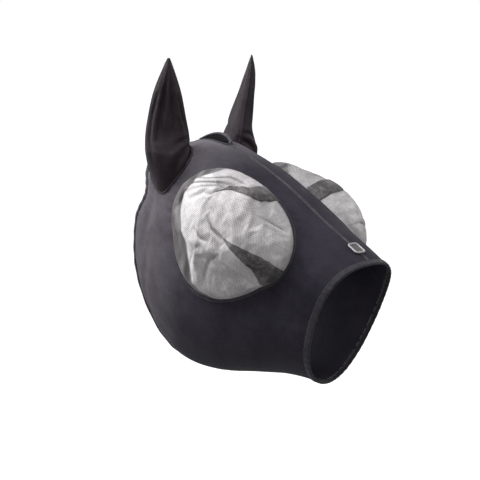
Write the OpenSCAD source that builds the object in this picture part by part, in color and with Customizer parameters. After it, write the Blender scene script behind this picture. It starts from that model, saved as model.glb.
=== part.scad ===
// Pull-on fly mask for a horse: a stretch-fabric hood with covered ears, a forelock slit
// and a domed mesh window over each eye, in the shape that it takes on the head.
//
// Origin: on the poll, midway between the ears. +Z is up, the face points to -Y and
// downwards, the horse's left is +X.
//
// A place on the head is written [t, a]: t is the distance from the poll along the face
// line, and a is the angle round the head, from 0 on the ridge of the face to 180 under
// the jaw. Everything is worked out for the right side and mirrored for the left.

/* [Head] */
// Length of the face from the poll to the nose edge
face_len = 400; // [330:1:490]
// Depth of the head at the cheek, square to the face line
cheek_depth = 376; // [310:1:460]
// Half the width of the head at the eyes
head_half_w = 106; // [86:1:130]
// Slope of the face line below level, in degrees
face_slope = 28; // [15:1:40]

/* [Fabric] */
// Thickness of the stretch fabric
fabric_t = 1.2; // [0.8:0.1:2]
// Thickness of the mesh
mesh_t = 0.8; // [0.4:0.1:1.2]
// Thickness of bindings, seam strips and hems
band_t = 2; // [1.4:0.1:3]
// Gap left between neighbouring pieces along a seam
seam_gap = 0.12; // [0.05:0.01:0.3]

/* [Openings] */
// Width of the elastic hem round the nose
nose_hem_w = 12; // [8:1:18]
// Width of the elastic hem round the neck
neck_hem_w = 8; // [6:1:12]
// How far behind the poll the neck edge starts on the ridge
neck_back = 46; // [42:1:60]
// Where the neck edge ends under the jaw, from the poll
neck_under = 132; // [110:1:160]
// How far the neck edge bows back behind the ears
neck_bow = 110; // [84:1:118]
// How far the neck edge dips toward the face below each ear
neck_dip = 40; // [0:2:48]
// How far the neck edge reaches back round the corner of the jaw
jaw_reach = 26; // [0:2:40]
// How far the nose edge bows back on the sides
nose_bow = 11; // [0:1:25]

/* [Forelock slit] */
// Length of the slit
slit_len = 62; // [40:1:70]
// Width of the slit as worn
slit_w = 18; // [10:1:24]
// Width of the binding on each lip
lip_w = 6; // [4:0.5:8]
// Length of each bar tack along the slit
tack_len = 4; // [3:0.5:5]

/* [Seams] */
// Width of the seam strips on the ridge and under the jaw
tape_w = 6; // [4:0.5:9]

/* [Eye windows] */
// Middle of the window from the poll, along the face
eye_t = 180; // [170:1:200]
// Middle of the window round the head, in degrees
eye_a = 65; // [60:1:72]
// Half length of the window along the face
eye_half_len = 128; // [100:1:132]
// Half height of the window, measured round the head
eye_half_h = 75; // [60:1:80]
// Height of the mesh dome
dome_h = 64; // [40:1:75]
// Width of the binding round the window
eye_band_w = 6; // [4:0.5:8]

/* [Ears] */
// Height of the ear sleeve above its pivot
ear_h = 176; // [140:1:215]
// Width of the sleeve at its widest
ear_w = 75; // [60:1:90]
// Radius of the round base that turns in the gusset
ear_base_r = 35; // [30:0.5:36]
// Gap between the round base and its gusset
ear_clear = 1.5; // [1:0.1:2.5]
// Outward lean of the sleeve in degrees
ear_lean = 3; // [0:1:12]
// Direction that the sleeve's opening side faces, outward from straight ahead, in degrees
ear_facing = 45; // [20:1:60]

/* [Trim] */
// Length of the plain patch on the nose
patch_len = 26; // [16:1:34]
// Width of the plain patch
patch_w = 24; // [14:1:32]
// Distance from the nose edge to the middle of the patch
patch_back = 42; // [36:1:60]
// Width of the care label
label_w = 30; // [20:1:40]
// Length of the care label
label_len = 38; // [25:1:50]
// How far the label hangs inside the fabric
label_drop = 5; // [4:0.5:8]

/* [Hidden] */

hood_colour = [0.16, 0.15, 0.18];
ear_colour = [0.17, 0.15, 0.16];
band_colour = [0.10, 0.09, 0.11];
mesh_colour = [0.62, 0.60, 0.61];
patch_colour = [0.60, 0.59, 0.58];
label_colour = [0.90, 0.90, 0.88];

// ---- The head: stations a fixed share of the face length apart ----

station_step = 0.175 * face_len;
// Height of the ridge above the face line at each station, the first one behind the poll
crown = [-58, -8, 7, 12, 10, 3, 0, -3, -4];
// Depth of the jaw line at each station, as a share of the cheek depth
jaw_share = [0.638, 0.864, 0.979, 1, 0.931, 0.806, 0.686, 0.606, 0.564];
// Half width at each station, as a share of the half width at the eyes
width_share = [0.70, 0.925, 0.97, 1, 1, 0.945, 0.85, 0.735, 0.66];
// How far down the widest point lies, and how full the section is above and below it
widest_share = 0.38;
fullness_top = 0.07;
fullness_bottom = 0.02;

function clamp(v, low, high) = min(max(v, low), high);
function spline(p0, p1, p2, p3, f) =
    0.5 * (2 * p1 + (p2 - p0) * f + (2 * p0 - 5 * p1 + 4 * p2 - p3) * f * f
    + (3 * p1 - p0 - 3 * p2 + p3) * f * f * f);
// Value of a station list at distance t from the poll
function along(list, t) =
    let (u = t / station_step + 1, last = len(list) - 1, i = clamp(floor(u), 0, last - 1))
    spline(list[max(i - 1, 0)], list[i], list[i + 1], list[min(i + 2, last)], u - i);
function half_w(t) = head_half_w * along(width_share, t);

// From face line axes (sideways, along, out of the face) to the part's own frame
function to_part(x, t, d) = [
    x,
    -t * cos(face_slope) - d * sin(face_slope),
    -t * sin(face_slope) + d * cos(face_slope)
];
// Point on the right side at [t, a], lifted off the head by lift
function skin(q, lift = 0) =
    let (
        t = q[0], a = q[1],
        top = along(crown, t),
        bottom = -cheek_depth * along(jaw_share, t),
        middle = top + (bottom - top) * widest_share,
        height = (a < 90 ? top - middle : middle - bottom) + lift,
        full = 1 + (a < 90 ? fullness_top : fullness_bottom) * pow(sin(2 * a), 2)
    )
    to_part(-(half_w(t) + lift) * sin(a) * full, t, middle + height * cos(a) * full);

// Angle at which the surface stands x to the side of the ridge or of the jaw line
function ridge_a(t, x) = asin(x / half_w(t));
function jaw_a(t, x) = 180 - ridge_a(t, x);
// A length round the head as an angle, at the width of the eyes
function deg(length) = length / head_half_w * 180 / PI;

// ---- Edges of the hood in [t, a] ----

function neck_t(a) =
    -neck_back + (neck_under + neck_back) * (1 - cos(a)) / 2
    - neck_bow * pow(sin(a), 2) * (1 - 0.5 * cos(a))
    + neck_dip * exp(-pow((a - 88) / 18, 2)) - jaw_reach * exp(-pow((a - 138) / 18, 2));
function nose_t(a) = face_len * (1 + 0.02 * (1 - cos(a))) - nose_bow * pow(sin(a), 2);
function panel_neck_t(a) = neck_t(a) + neck_hem_w + seam_gap;
function panel_nose_t(a) = nose_t(a) - nose_hem_w - seam_gap;

// The slit runs from slit_rear to slit_front on the ridge, with a bar tack past each end
slit_rear = -slit_len / 2 + 2;
slit_front = slit_rear + slit_len;
slit_mid = (slit_rear + slit_front) / 2;
function slit_x(t) = slit_w / 2 * sqrt(max(0, 1 - pow((t - slit_mid) / (slit_len / 2), 2)));
tack_rear = slit_rear - tack_len;
tack_front = slit_front + tack_len;

function steps(from, to, count) = [for (i = [0 : count]) from + (to - from) * i / count];
function but_last(list) = [for (i = [0 : len(list) - 2]) list[i]];
function reversed(list) = [for (i = [len(list) - 1 : -1 : 0]) list[i]];
function flat(list) = [for (row = list) each row];
function mix(p, q, f) = p + (q - p) * f;

slit_ts = steps(slit_rear, slit_front, 8);
// Side distance of the panel's ridge edge: clear of the seam strip, or of the slit binding
function ridge_x(t) =
    (t < tack_rear || t > tack_front) ? tape_w / 2 + seam_gap
    : lip_w + slit_x(t) + 2 * seam_gap;
function ridge_edge(t) = [t, ridge_a(t, ridge_x(t))];
function jaw_edge(t) = [t, jaw_a(t, tape_w / 2 + seam_gap)];

// ---- Ear opening and the block of the side panel that holds it ----

ear_t = -8;
ear_a = 53;
ear_hole_len = ear_base_r + 3;
ear_hole_h = ear_base_r + 6;
// The block ends midway between the ear opening and the eye window
block_t = (ear_t + ear_hole_len + eye_t - eye_half_len) / 2;
block_low_a = 80;
block_rear_a = 95;

first_a = ridge_a(-neck_back, tape_w / 2 + seam_gap);
last_a = jaw_a(neck_under, tape_w / 2 + seam_gap);
nose_last_a = jaw_a(face_len, tape_w / 2 + seam_gap);
neck_as_ear = steps(first_a, block_rear_a, 11);
neck_as_cheek = steps(block_rear_a, last_a, 9);
nose_as = steps(first_a, nose_last_a, 16);

function neck_point(a) = [panel_neck_t(a), a];
function nose_point(a) = [panel_nose_t(a), a];

// Corners shared by the ear block and the rest of the panel
ridge_start = panel_neck_t(first_a);
block_corner = [block_t, block_low_a];
block_rear = neck_point(block_rear_a);
ridge_ts_ear = concat([ridge_start, tack_rear], slit_ts, [tack_front, block_t]);
path_block_side = [for (a = steps(ridge_edge(block_t)[1], block_low_a, 7)) [block_t, a]];
path_block_low = [for (f = steps(0, 1, 6)) mix(block_corner, block_rear, f)];
path_ridge_ear = [for (t = ridge_ts_ear) ridge_edge(t)];
path_neck_ear = [for (a = reversed(neck_as_ear)) neck_point(a)];
ear_loop = concat(
    but_last(path_ridge_ear), but_last(path_block_side), but_last(path_block_low),
    but_last(path_neck_ear)
);
ear_shared = [len(path_ridge_ear) - 1, len(path_ridge_ear) + len(path_block_side)
    + len(path_block_low) - 3];

path_ridge_face = [for (t = steps(block_t, panel_nose_t(first_a), 12)) ridge_edge(t)];
path_nose = [for (a = nose_as) nose_point(a)];
path_jaw = [for (t = steps(panel_nose_t(nose_last_a), panel_neck_t(last_a), 9)) jaw_edge(t)];
path_neck_cheek = [for (a = reversed(neck_as_cheek)) neck_point(a)];
main_loop = concat(
    but_last(path_ridge_face), but_last(path_nose), but_last(path_jaw),
    but_last(path_neck_cheek), but_last(reversed(path_block_low)),
    but_last(reversed(path_block_side))
);
main_open = len(path_ridge_face) + len(path_nose) + len(path_jaw) + len(path_neck_cheek) - 4;

// Direction of a point seen from the middle of an oval, in the oval's own proportions
function bearing(q, middle, half_t, half_a) =
    atan2((q[1] - middle[1]) / half_a, (q[0] - middle[0]) / half_t);
function oval(middle, half_t, half_a, bearings) =
    [for (b = bearings) middle + [half_t * cos(b), half_a * sin(b)]];

eye_middle = [eye_t, eye_a];
eye_half_a = deg(eye_half_h);
eye_bearings = [for (q = main_loop) bearing(q, eye_middle, eye_half_len, eye_half_a)];
function eye_oval(grow) =
    oval(eye_middle, eye_half_len + grow, eye_half_a + deg(grow), eye_bearings);

ear_middle = [ear_t, ear_a];
ear_half_a = deg(ear_hole_h);
ear_bearings = [for (q = ear_loop) bearing(q, ear_middle, ear_hole_len, ear_half_a)];
function ear_oval(grow) =
    oval(ear_middle, ear_hole_len + grow, ear_half_a + deg(grow), ear_bearings);

// ---- Sheets: two skins of matching points, joined along their free edges ----
// The first skin is the one that its rows and their order turn outwards.

function lift_rows(rows, lift) = [for (row = rows) [for (q = row) skin(q, lift)]];
// Faces between rows of n points; around closes each row on itself
function skin_faces(base, rows, n, around, turned) = [
    for (j = [0 : rows - 2], i = [0 : (around ? n - 1 : n - 2)])
    let (a = base + j * n + i, b = base + j * n + (i + 1) % n, c = b + n, d = a + n)
    each turned ? [[a, c, b], [a, d, c]] : [[a, b, c], [a, c, d]]
];
// Wall between the two skins along one row
function row_wall(base, other, row, n, spans, turned) = [
    for (i = spans)
    let (
        a = base + row * n + i, b = base + row * n + (i + 1) % n,
        c = b - base + other, d = a - base + other
    )
    each turned ? [[a, c, b], [a, d, c]] : [[a, b, c], [a, c, d]]
];
function end_wall(base, other, rows, n, i, turned) = [
    for (j = [0 : rows - 2])
    let (a = base + j * n + i, b = a + n, c = b - base + other, d = a - base + other)
    each turned ? [[a, c, b], [a, d, c]] : [[a, b, c], [a, c, d]]
];
// Fan over the last row, which closes a dome
function fan(base, rows, n, turned) = [
    for (i = [1 : n - 2])
    let (a = base + (rows - 1) * n)
    turned ? [a, a + i + 1, a + i] : [a, a + i, a + i + 1]
];

// Rows that close on themselves, such as a band round an opening; a dome's last row is filled
function ring_faces(base, rows, n, filled, open_row_spans) =
    let (other = base + rows * n)
    concat(
        skin_faces(base, rows, n, true, false), skin_faces(other, rows, n, true, true),
        row_wall(base, other, 0, n, [0 : n - 1], true),
        filled ? concat(fan(base, rows, n, false), fan(other, rows, n, true))
        : row_wall(base, other, rows - 1, n, open_row_spans, false)
    );
module ring_sheet(outer, inner, filled = false) {
    n = len(outer[0]);
    polyhedron(concat(flat(outer), flat(inner)),
        ring_faces(0, len(outer), n, filled, [0 : n - 1]));
}
// Rows with two free ends, such as a strip
module strip_sheet(outer, inner) {
    rows = len(outer);
    n = len(outer[0]);
    other = rows * n;
    polyhedron(concat(flat(outer), flat(inner)), concat(
        skin_faces(0, rows, n, false, false), skin_faces(other, rows, n, false, true),
        row_wall(0, other, 0, n, [0 : n - 2], true),
        row_wall(0, other, rows - 1, n, [0 : n - 2], false),
        end_wall(0, other, rows, n, 0, false), end_wall(0, other, rows, n, n - 1, true)
    ));
}

// ---- Hood ----

module hood_panel() {
    ear_fractions = [0, 0.45, 1];
    main_fractions = [0, 0.12, 0.3, 0.52, 0.76, 1];
    hole = ear_oval(0);
    window = eye_oval(eye_band_w + seam_gap);
    ear_rows = [for (f = ear_fractions) [for (i = [0 : len(ear_loop) - 1])
        mix(hole[i], ear_loop[i], f)]];
    main_rows = [for (f = main_fractions) [for (i = [0 : len(main_loop) - 1])
        mix(window[i], main_loop[i], f)]];
    ear_points = concat(flat(lift_rows(ear_rows, 0)), flat(lift_rows(ear_rows, fabric_t)));
    main_points = concat(flat(lift_rows(main_rows, 0)), flat(lift_rows(main_rows, fabric_t)));
    ear_n = len(ear_loop);
    ear_free = concat([for (i = [0 : ear_shared[0] - 1]) i],
        [for (i = [ear_shared[1] : ear_n - 1]) i]);
    color(hood_colour)
        polyhedron(concat(ear_points, main_points), concat(
            ring_faces(0, len(ear_rows), ear_n, false, ear_free),
            ring_faces(len(ear_points), len(main_rows), len(main_loop), false,
                [0 : main_open - 1])
        ));
}

// A strip along the ridge or the jaw line, as wide as the seam tape
module ridge_strip(ts, width, lift, thick, under = false) {
    xs = [-width / 2, 0, width / 2];
    function row(x, height) = [for (t = ts)
        let (p = skin([t, under ? jaw_a(t, abs(x)) : ridge_a(t, abs(x))], height))
        [sign(x) * abs(p[0]), p[1], p[2]]];
    outer = [for (x = under ? xs : reversed(xs)) row(x, lift + thick)];
    inner = [for (x = under ? xs : reversed(xs)) row(x, lift)];
    strip_sheet(outer, inner);
}

module face_seam_tape() {
    ts = [for (q = path_ridge_face) q[0]];
    color(band_colour) ridge_strip(concat([tack_front + seam_gap], ts), tape_w, 0, band_t);
}

module poll_seam_tape() {
    color(band_colour)
        ridge_strip([panel_neck_t(0), tack_rear - seam_gap], tape_w, 0, band_t);
}

module jaw_seam_tape() {
    ts = reversed([for (q = path_jaw) q[0]]);
    color(band_colour) ridge_strip(ts, tape_w, 0, band_t, under = true);
}

module forelock_binding() {
    function row(x, lift) = [for (t = slit_ts)
        skin([t, ridge_a(t, slit_x(t) + x)], lift)];
    edges = [seam_gap, lip_w];
    color(band_colour)
        strip_sheet([for (x = edges) row(x, band_t)], [for (x = edges) row(x, 0)]);
}

module forelock_bar_tacks() {
    rear = [tack_rear, slit_rear - seam_gap];
    front = [slit_front + seam_gap, tack_front];
    color(band_colour) {
        ridge_strip(rear, 2 * lip_w, 0, band_t);
        ridge_strip(front, 2 * lip_w, 0, band_t);
    }
}

module nose_hem() {
    as = concat([0], nose_as, [180]);
    hem_band([for (a = as) [nose_t(a) - nose_hem_w, a]], [for (a = as) [nose_t(a), a]]);
}

module neck_hem() {
    as = concat([0], but_last(neck_as_ear), neck_as_cheek, [180]);
    hem_band([for (a = as) [neck_t(a), a]], [for (a = as) [neck_t(a) + neck_hem_w, a]]);
}

// A band right round the head between two edges that are given for the right side
module hem_band(rear, front) {
    function across(p) = [-p[0], p[1], p[2]];
    function whole(row, lift) =
        let (right = [for (q = row) skin(q, lift)], n = len(right))
        concat(right, [for (i = [n - 2 : -1 : 1]) across(right[i])]);
    color(band_colour) ring_sheet(
        [whole(front, band_t), whole(rear, band_t)], [whole(front, 0), whole(rear, 0)]);
}

// ---- Eye windows ----

module eye_binding() {
    edges = [eye_oval(eye_band_w), eye_oval(0)];
    color(band_colour) ring_sheet(lift_rows(edges, band_t), lift_rows(edges, 0));
}

// The dome stands out sideways and a little forward; it is steep at its rim and flat on top
dome_out = to_part(-sin(58) * cos(12), sin(12), cos(58) * cos(12));
function dome_point(share, bearing, lift) =
    let (
        q = eye_middle + share * [
            (eye_half_len - seam_gap) * cos(bearing), (eye_half_a - deg(seam_gap)) * sin(bearing)
        ],
        rise = dome_h * pow(1 - pow(share, 2.6), 0.62),
        square = skin(q, 1) - skin(q, 0)
    )
    skin(q, lift) + rise * (0.65 * dome_out + 0.35 * square);

module eye_mesh() {
    shares = [1, 0.97, 0.92, 0.84, 0.72, 0.55, 0.36, 0.16];
    function rows(lift) = [for (s = shares) [for (b = eye_bearings)
        dome_point(s, b, lift)]];
    color(mesh_colour) ring_sheet(rows(mesh_t), rows(0), filled = true);
}

// ---- Ears ----

function unit(v) = v / norm(v);
ear_pivot = skin(ear_middle, 5);
ear_up = unit([-sin(ear_lean), -sin(4), 1]);
ear_side_in = unit(skin([ear_t, ear_a - 1]) - skin([ear_t, ear_a + 1]));
ear_along = unit(skin([ear_t + 1, ear_a]) - skin([ear_t - 1, ear_a]));
ear_hole_out = unit(cross(ear_along, ear_side_in));
// The round base leans halfway between the sleeve and the side of the head
ear_base_up = unit(ear_up + ear_hole_out);
ear_face_raw = [-sin(ear_facing), -cos(ear_facing), 0];

// Rings of the sleeve: [share of the height, half width, half thickness, forward shift]
ear_profile = [
    [0.22, 0.97, 0.80, 3], [0.34, 0.91, 0.70, 5], [0.46, 0.80, 0.58, 7],
    [0.58, 0.66, 0.46, 9], [0.70, 0.50, 0.34, 10], [0.82, 0.33, 0.24, 11],
    [0.92, 0.19, 0.16, 12], [1.00, 0.09, 0.09, 12]
];
base_low = -28;
base_high = 24;

// Ring number k, shrunk inwards by inset, at the angles phis; 0 is the inner edge, 90 the front
base_lats = steps(base_low, base_high, 6);
ring_total = len(base_lats) + len(ear_profile);
function ear_ring(k, inset, phis) =
    let (
        on_base = k < len(base_lats),
        lat = on_base ? base_lats[k] : 0,
        spec = on_base ? [0, 0, 0, 0] : ear_profile[k - len(base_lats)],
        up = on_base ? ear_base_up : k == len(base_lats) ? unit(ear_base_up + 2 * ear_up) : ear_up,
        face = unit(ear_face_raw - up * (ear_face_raw * up)),
        side = cross(face, up),
        r = ear_base_r - inset,
        half_width = on_base ? r * cos(lat) : spec[1] * ear_w / 2 - inset,
        half_thick = on_base ? r * cos(lat) : spec[2] * ear_w / 2 - inset,
        middle = ear_pivot + (on_base ? ear_base_up * r * sin(lat)
            : ear_up * ear_h * spec[0] + face * spec[3])
    )
    [for (p = phis) middle + side * half_width * cos(p) + face * half_thick * sin(p)];

module ear_half(from, to) {
    phis = steps(from + 0.3, to - 0.3, 12);
    outer = [for (k = [ring_total - 1 : -1 : 0]) ear_ring(k, 0, phis)];
    inner = [for (k = [ring_total - 1 : -1 : 0]) ear_ring(k, fabric_t, phis)];
    color(ear_colour) strip_sheet(outer, inner);
}
module ear_front() { ear_half(0, 180); }
module ear_back() { ear_half(180, 360); }

// Gusset from the ear opening up to a ring that clears the round base
module ear_base() {
    hole = ear_oval(-seam_gap);
    n = len(hole);
    ring_r = ear_base_r + ear_clear + fabric_t / 2;
    hole_mid = [for (q = hole) skin(q, fabric_t / 2)];
    ring = [for (p = hole_mid)
        let (sight = p - ear_pivot)
        ear_pivot + ring_r * unit(sight - ear_base_up * (sight * ear_base_up))];
    // Halfway down, kept at least as far from the round base as the ring is
    waist = [for (i = [0 : n - 1])
        let (sight = mix(ring[i], hole_mid[i], 0.5) - ear_pivot)
        ear_pivot + max(ring_r + fabric_t / 2, norm(sight)) * unit(sight)];
    // Half the fabric's thickness, square to the gusset
    half_wall = [for (i = [0 : n - 1])
        let (along_ring = ring[(i + 1) % n] - ring[(i + n - 1) % n])
        fabric_t / 2 * unit(cross(ring[i] - hole_mid[i], along_ring))];
    color(ear_colour) ring_sheet(
        [[for (q = hole) skin(q, fabric_t)], waist + half_wall, ring + half_wall],
        [[for (q = hole) skin(q, 0)], waist - half_wall, ring - half_wall]
    );
}

// ---- Trim ----

module nose_patch() {
    middle = face_len - patch_back;
    ts = steps(middle - patch_len / 2, middle + patch_len / 2, 4);
    color(patch_colour) ridge_strip(ts, patch_w, band_t + 0.6, 1);
}

module care_label() {
    start = neck_t(180) + neck_hem_w + 4;
    color(label_colour)
        ridge_strip(steps(start, start + label_len, 3), label_w, -label_drop, 0.5, under = true);
}

module other_side() { mirror([1, 0, 0]) children(); }

hood_panel();  // hood_panel_right
other_side() hood_panel();  // hood_panel_left
face_seam_tape();
poll_seam_tape();
jaw_seam_tape();
forelock_binding();  // forelock_binding_right
other_side() forelock_binding();  // forelock_binding_left
forelock_bar_tacks();
eye_mesh();  // eye_mesh_right
other_side() eye_mesh();  // eye_mesh_left
eye_binding();  // eye_binding_right
other_side() eye_binding();  // eye_binding_left
ear_front();  // ear_front_right
ear_back();  // ear_back_right
other_side() ear_front();  // ear_front_left
other_side() ear_back();  // ear_back_left
ear_base();  // ear_base_right
other_side() ear_base();  // ear_base_left
nose_hem();
neck_hem();
nose_patch();
care_label();
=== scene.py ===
"""Pull-on fly mask for a horse: stretch hood, covered ears, forelock slit and domed net windows.

Sizes are in millimetres until a mesh is made, and they repeat the part's own sizes. A place on
the head is (t, a): t runs from the poll along the face line, a is the angle round the head from
the ridge, above zero on the right side and below zero on the left.
"""

import math

import bmesh
import bpy
import numpy as np
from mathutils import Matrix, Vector
from mathutils.bvhtree import BVHTree


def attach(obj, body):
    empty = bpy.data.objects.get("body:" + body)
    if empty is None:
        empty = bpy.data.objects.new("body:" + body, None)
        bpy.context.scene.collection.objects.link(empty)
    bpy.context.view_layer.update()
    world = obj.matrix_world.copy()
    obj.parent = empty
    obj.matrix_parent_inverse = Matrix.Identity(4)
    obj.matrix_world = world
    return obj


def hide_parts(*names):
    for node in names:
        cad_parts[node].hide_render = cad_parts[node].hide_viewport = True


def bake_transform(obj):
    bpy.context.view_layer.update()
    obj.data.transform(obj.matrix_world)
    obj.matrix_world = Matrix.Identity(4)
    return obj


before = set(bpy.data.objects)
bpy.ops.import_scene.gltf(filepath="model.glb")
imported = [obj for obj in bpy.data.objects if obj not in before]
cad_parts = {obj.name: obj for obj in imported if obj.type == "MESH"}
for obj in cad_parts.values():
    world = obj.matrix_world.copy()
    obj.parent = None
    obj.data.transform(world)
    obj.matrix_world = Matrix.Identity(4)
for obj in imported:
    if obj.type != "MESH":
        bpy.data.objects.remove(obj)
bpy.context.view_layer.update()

MM = 0.001
RIGHT, LEFT = 1, -1
SIDES = {"right": RIGHT, "left": LEFT}

# ---- The camera ----

AIM = np.array([-47.16, -101.94, -167.88])
CAMERA_AZIMUTH, CAMERA_ELEVATION, CAMERA_DISTANCE = -47.0, 8.0, 3000.0
SENSOR_WIDTH, LENS, FAR_CLIP = 36, 132.92, 60


def placed(name, data):
    """A new object in the scene."""
    thing = bpy.data.objects.new(name, data)
    bpy.context.scene.collection.objects.link(thing)
    return thing


def from_aim(azimuth, elevation, distance):
    """A place in metres, seen from the point aimed at."""
    az, el = math.radians(azimuth), math.radians(elevation)
    way = np.array([math.sin(az) * math.cos(el), -math.cos(az) * math.cos(el), math.sin(el)])
    return Vector((AIM + distance * way) * MM)


def turned_to_aim(thing):
    look = Vector(AIM * MM) - thing.location
    thing.rotation_euler = look.to_track_quat("-Z", "Y").to_euler()


camera = placed("camera", bpy.data.cameras.new("camera"))
camera.data.sensor_width, camera.data.lens, camera.data.clip_end = SENSOR_WIDTH, LENS, FAR_CLIP
camera.location = from_aim(CAMERA_AZIMUTH, CAMERA_ELEVATION, CAMERA_DISTANCE)
turned_to_aim(camera)
bpy.context.scene.camera = camera

# ---- The head that the mask is shaped on ----

FACE_LEN, CHEEK_DEPTH, HEAD_HALF_W = 400.0, 376.0, 106.0
FACE_SLOPE = math.radians(28)
STATION_STEP = 0.175 * FACE_LEN
CROWN = np.array([-58, -8, 7, 12, 10, 3, 0, -3, -4.0])
JAW_SHARE = np.array([0.638, 0.864, 0.979, 1, 0.931, 0.806, 0.686, 0.606, 0.564])
WIDTH_SHARE = np.array([0.70, 0.925, 0.97, 1, 1, 0.945, 0.85, 0.735, 0.66])
WIDEST_SHARE, FULL_TOP, FULL_BOTTOM = 0.38, 0.07, 0.02
MM_PER_DEGREE = HEAD_HALF_W * math.pi / 180


def along(values, t):
    """Value of a station list at distance t from the poll."""
    u = np.asarray(t, float) / STATION_STEP + 1
    i = np.clip(np.floor(u).astype(int), 0, len(values) - 2)
    f = u - i
    p, q, r, s = (values[np.clip(i + k, 0, len(values) - 1)] for k in (-1, 0, 1, 2))
    return 0.5 * (2 * q + (r - p) * f + (2 * p - 5 * q + 4 * r - s) * f**2
                  + (3 * q - p - 3 * r + s) * f**3)


def to_part(x, t, d):
    c, s = math.cos(FACE_SLOPE), math.sin(FACE_SLOPE)
    return np.stack(np.broadcast_arrays(x, -t * c - d * s, -t * s + d * c), -1)


def skin(t, a, lift=0.0):
    """Point of the head at (t, a), grown by lift the way that the part's source grows it."""
    t, a = np.broadcast_arrays(np.asarray(t, float), np.asarray(a, float))
    turn, upper = np.radians(a), np.abs(a) < 90
    top, bottom = along(CROWN, t), -CHEEK_DEPTH * along(JAW_SHARE, t)
    middle = top + (bottom - top) * WIDEST_SHARE
    height = np.where(upper, top - middle, middle - bottom) + lift
    full = 1 + np.where(upper, FULL_TOP, FULL_BOTTOM) * np.sin(2 * turn) ** 2
    half = HEAD_HALF_W * along(WIDTH_SHARE, t) + lift
    return to_part(-half * np.sin(turn) * full, t, middle + height * np.cos(turn) * full)


def unit(v):
    return v / np.maximum(np.linalg.norm(v, axis=-1, keepdims=True), 1e-12)


def head_normal(t, a):
    down = skin(np.add(t, 1.5), a) - skin(np.add(t, -1.5), a)
    round_it = skin(t, np.add(a, 0.6)) - skin(t, np.add(a, -0.6))
    return unit(np.cross(round_it, down))


def on_head(t, a, lift=0.0):
    """Point at a true distance off the head."""
    return skin(t, a) + np.asarray(lift, float)[..., None] * head_normal(t, a)


def half_width(t):
    return HEAD_HALF_W * along(WIDTH_SHARE, t)


def ridge_a(t, x):
    """Angle of the surface at x to the side of the ridge."""
    return np.degrees(np.arcsin(np.clip(np.divide(x, half_width(t)), -1, 1)))


def smooth(x):
    x = np.clip(x, 0, 1)
    return x * x * (3 - 2 * x)


def hill(x, width):
    return np.exp(-((x / width) ** 2))


# ---- Edges of the hood ----

NECK_BACK, NECK_UNDER, NECK_BOW, NECK_DIP, JAW_REACH = 46.0, 132.0, 110.0, 40.0, 26.0
NOSE_BOW, NOSE_HEM_W, NECK_HEM_W = 11.0, 12.0, 8.0
SLIT_REAR, SLIT_FRONT, SLIT_W = -29.0, 33.0, 18.0
SLIT_MID, SLIT_HALF = (SLIT_REAR + SLIT_FRONT) / 2, (SLIT_FRONT - SLIT_REAR) / 2
EYE_T, EYE_A, EYE_HALF_LEN, EYE_HALF_H, EYE_BAND_W = 180.0, 65.0, 128.0, 75.0, 6.0
EYE_HALF_A = EYE_HALF_H / MM_PER_DEGREE
EAR_T, EAR_A, EAR_HALF_LEN, EAR_HALF_H = -8.0, 53.0, 38.0, 41.0
EAR_HALF_A = EAR_HALF_H / MM_PER_DEGREE
LOBE_BEARING, LOBE_SPREAD, LOBE_SHARE = 55.0, 24.0, 0.2
BLOCK_T, BLOCK_LOW_A, BLOCK_REAR_A = 41.0, 80.0, 95.0
FABRIC_T = 1.2


def neck_t(a):
    r = np.radians(np.abs(a))
    return (-NECK_BACK + (NECK_UNDER + NECK_BACK) * (1 - np.cos(r)) / 2
            - NECK_BOW * np.sin(r) ** 2 * (1 - 0.5 * np.cos(r))
            + NECK_DIP * hill(np.abs(a) - 88, 18) - JAW_REACH * hill(np.abs(a) - 138, 18))


def nose_t(a):
    r = np.radians(np.abs(a))
    return FACE_LEN * (1 + 0.02 * (1 - np.cos(r))) - NOSE_BOW * np.sin(r) ** 2


def slit_x(t):
    return SLIT_W / 2 * np.sqrt(np.maximum(0, 1 - ((t - SLIT_MID) / SLIT_HALF) ** 2))


def slit_rise(t, x, side):
    """The lips of the slit stand up a little, the left one more."""
    opening = np.maximum(0, 1 - ((t - SLIT_MID) / (SLIT_HALF + 4)) ** 2) ** 0.7
    past_lip = np.maximum(0, np.abs(x) - slit_x(t))
    return (11.0 if side == LEFT else 0.0) * opening * hill(past_lip, 12)


def eye_oval(bearing, grow):
    b = np.radians(bearing)
    return (EYE_T + (EYE_HALF_LEN + grow) * np.cos(b),
            EYE_A + (EYE_HALF_A + grow / MM_PER_DEGREE) * np.sin(b))


def ear_seam(bearing, grow):
    """The ear opening, drawn out to a point low at the front."""
    b = np.radians(bearing)
    off = (np.asarray(bearing) - LOBE_BEARING + 180) % 360 - 180
    lobe = 1 + LOBE_SHARE * hill(off, LOBE_SPREAD)
    return (EAR_T + (EAR_HALF_LEN + grow) * lobe * np.cos(b),
            EAR_A + (EAR_HALF_A + grow / MM_PER_DEGREE) * lobe * np.sin(b))


# ---- Meshes ----

UV_NAME = "cloth"


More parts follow.
